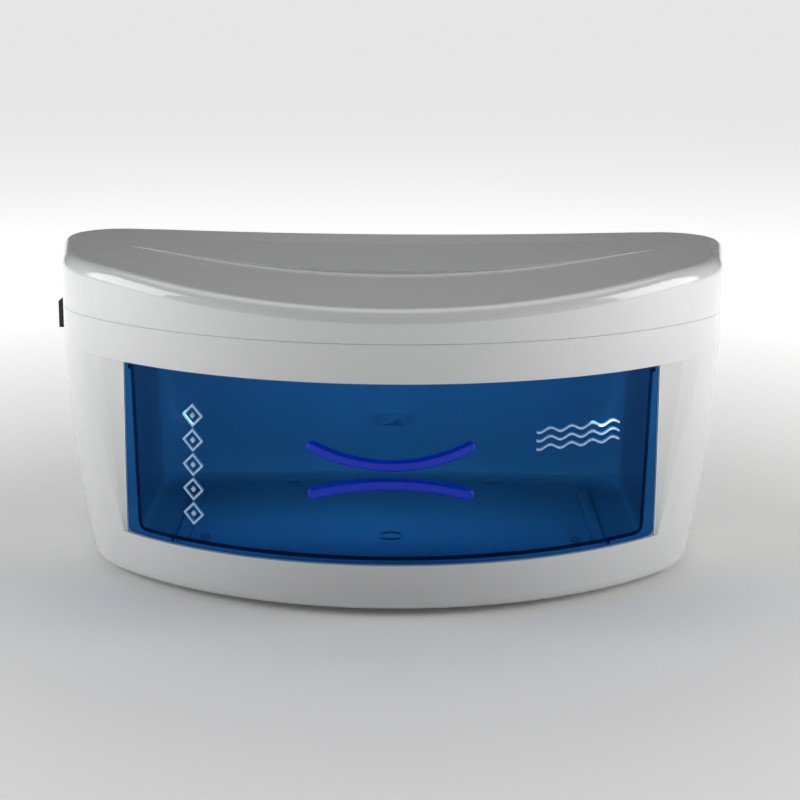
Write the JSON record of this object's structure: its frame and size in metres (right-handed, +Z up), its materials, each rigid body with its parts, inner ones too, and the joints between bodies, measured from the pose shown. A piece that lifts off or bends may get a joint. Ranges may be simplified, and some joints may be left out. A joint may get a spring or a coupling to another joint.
{
  "type": "ultraviolet sterilising cabinet with pull-out drawer",
  "caption": "White table-top ultraviolet sterilising cabinet with a bowed front, a dished top, a transparent blue pull-out drawer with curved grips, and a side rocker switch.",
  "frame": {"origin": "on the ground plane, under the middle of the housing's width and depth", "axes": "+X to the cabinet's right seen from the front, +Y to its back, +Z up; the drawer pulls out towards -Y"},
  "size_m": [0.3962, 0.2221, 0.1744],
  "materials": {
    "white_abs": "glossy white moulded plastic",
    "foot_rubber": "matt black rubber",
    "screw_steel": "zinc-plated steel",
    "liner_white": "satin white plastic",
    "rail_white": "smooth white low-friction plastic",
    "blue_clear": "transparent blue moulded plastic",
    "blue_clear_front": "transparent petrol-blue moulded plastic, polished",
    "grip_blue": "glossy royal blue plastic",
    "magnet": "nickel-plated magnet",
    "black_plastic": "fine-grained black plastic",
    "black_gloss": "glossy black plastic",
    "pin_metal": "bare brass",
    "lamp_glass": "clear quartz glass",
    "cap_metal": "pressed aluminium",
    "holder_white": "white plastic",
    "reflector_aluminium": "polished sheet",
    "guard_steel": "bright steel rod",
    "ballast_metal": "light grey enamelled steel",
    "starter_white": "white plastic canister",
    "wire_brown": "brown insulation",
    "wire_blue": "blue insulation",
    "wire_white": "white insulation"
  },
  "bodies": {
    "housing": {"top_cover": "white_abs", "main_body": "white_abs", "base_plate": "white_abs", "rubber_feet": "foot_rubber", "base_screws": "screw_steel", "cover_screws": "screw_steel", "chamber_liner": "liner_white", "guide_rail_left": "rail_white", "guide_rail_right": "rail_white", "drawer_stops": "rail_white", "switch_body": "black_plastic", "power_inlet": "black_plastic", "inlet_pins": "pin_metal", "uv_lamp_tube": "lamp_glass", "lamp_end_caps": "cap_metal", "lamp_pins": "pin_metal", "lamp_holder_left": "holder_white", "lamp_holder_right": "holder_white", "reflector": "reflector_aluminium", "reflector_screws": "screw_steel", "lamp_guard": "guard_steel", "ballast": "ballast_metal", "ballast_screws": "screw_steel", "starter": "starter_white", "starter_socket": "holder_white", "terminal_block": "holder_white", "terminal_screws": "screw_steel", "reed_switch": "black_plastic", "wire_inlet_line": "wire_brown", "wire_inlet_neutral": "wire_blue", "wire_terminal_ballast": "wire_brown", "wire_switch": "wire_brown", "wire_lamp_right": "wire_white", "wire_lamp_left": "wire_white", "wire_starter": "wire_white"},
    "drawer": {"drawer_tray": "blue_clear", "drawer_front": "blue_clear_front", "upper_grip": "grip_blue", "lower_grip": "grip_blue", "drawer_magnet": "magnet"},
    "rocker_key": {"rocker": "black_gloss"}
  },
  "joints": [
    {"name": "drawer_slide", "type": "slide", "parent": "housing", "child": "drawer", "axis": [0, -1, 0], "range_m": [0, 0.13]},
    {"name": "rocker_tilt", "type": "hinge", "parent": "housing", "child": "rocker_key", "pos_m": [-0.18855, 0.03, 0.135], "axis": [0, 1, 0], "range_deg": [0, 18]}
  ]
}
